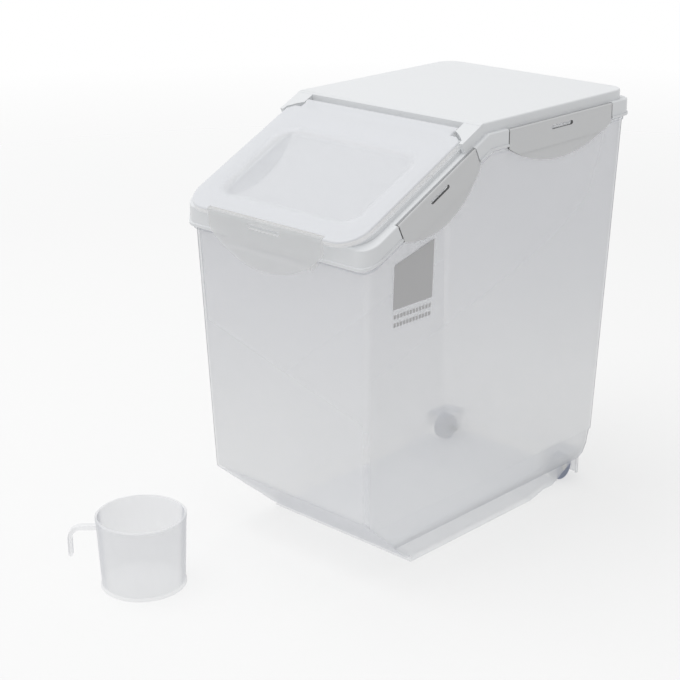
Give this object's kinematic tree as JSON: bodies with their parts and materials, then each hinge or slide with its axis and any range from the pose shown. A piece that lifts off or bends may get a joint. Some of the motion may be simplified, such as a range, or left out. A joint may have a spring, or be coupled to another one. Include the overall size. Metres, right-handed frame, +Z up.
{
  "type": "rice bin with flip lid",
  "caption": "Tall narrow storage bin for rice with a sloping lid that flips open, snap-down latches, rear wheels and a loose measuring cup.",
  "frame": {"origin": "on the floor, under the middle of the lid's width and depth, on the flat underside of the tub", "axes": "+Z up, -Y towards the low front of the sloping lid, +X to the right seen from the front"},
  "size_m": [0.218, 0.4943, 0.3786],
  "materials": {
    "body_plastic": "frosted translucent polypropylene",
    "lid_plastic": "satin white polypropylene",
    "seal_rubber": "soft white silicone",
    "wheel_plastic": "moulded blue-grey nylon",
    "pin_steel": "drawn steel rod",
    "label_print": "grey print on clear film",
    "cup_plastic": "translucent polypropylene"
  },
  "bodies": {
    "bin": {"bin_body": "body_plastic", "main_lid": "lid_plastic", "lid_gasket": "seal_rubber", "capacity_label": "label_print", "left_hinge_pin": "pin_steel", "right_hinge_pin": "pin_steel", "left_wheel_pin": "pin_steel", "right_wheel_pin": "pin_steel"},
    "flip_lid": {"flip_lid": "lid_plastic", "flip_lid_gasket": "seal_rubber"},
    "front_latch": {"front_latch": "lid_plastic"},
    "right_rear_latch": {"right_rear_latch": "lid_plastic"},
    "left_rear_latch": {"left_rear_latch": "lid_plastic"},
    "right_slope_latch": {"right_slope_latch": "lid_plastic"},
    "left_slope_latch": {"left_slope_latch": "lid_plastic"},
    "right_wheel": {"right_wheel": "wheel_plastic"},
    "left_wheel": {"left_wheel": "wheel_plastic"},
    "measuring_cup": {"measuring_cup": "cup_plastic"}
  },
  "joints": [
    {"name": "flip_lid_hinge", "type": "hinge", "parent": "bin", "child": "flip_lid", "pos_m": [0, -0.04306, 0.36941], "axis": [-1, 0, 0], "range_deg": [0, 120]},
    {"name": "front_latch_hinge", "type": "hinge", "parent": "flip_lid", "child": "front_latch", "pos_m": [0, -0.17952, 0.30486], "axis": [-1, 0, 0], "range_deg": [0, 90]},
    {"name": "right_rear_latch_hinge", "type": "hinge", "parent": "bin", "child": "right_rear_latch", "pos_m": [0.1064, 0.06775, 0.368], "axis": [0, -1, 0], "range_deg": [0, 90]},
    {"name": "left_rear_latch_hinge", "type": "hinge", "parent": "bin", "child": "left_rear_latch", "pos_m": [-0.1064, 0.06775, 0.368], "axis": [0, 1, 0], "range_deg": [0, 90]},
    {"name": "right_slope_latch_hinge", "type": "hinge", "parent": "bin", "child": "right_slope_latch", "pos_m": [0.1064, -0.09307, 0.33701], "axis": [0, -0.8988, -0.4384], "range_deg": [0, 90]},
    {"name": "left_slope_latch_hinge", "type": "hinge", "parent": "bin", "child": "left_slope_latch", "pos_m": [-0.1064, -0.09307, 0.33701], "axis": [0, 0.8988, 0.4384], "range_deg": [0, 90]},
    {"name": "right_wheel_spin", "type": "hinge", "parent": "bin", "child": "right_wheel", "pos_m": [0.07151, 0.13511, 0.013], "axis": [1, 0, 0], "continuous": true},
    {"name": "left_wheel_spin", "type": "hinge", "parent": "bin", "child": "left_wheel", "pos_m": [-0.07151, 0.13511, 0.013], "axis": [1, 0, 0], "continuous": true},
    {"name": "measuring_cup_lift", "type": "slide", "parent": "bin", "child": "measuring_cup", "axis": [0, 0, 1], "range_m": [0, 0.15]}
  ]
}
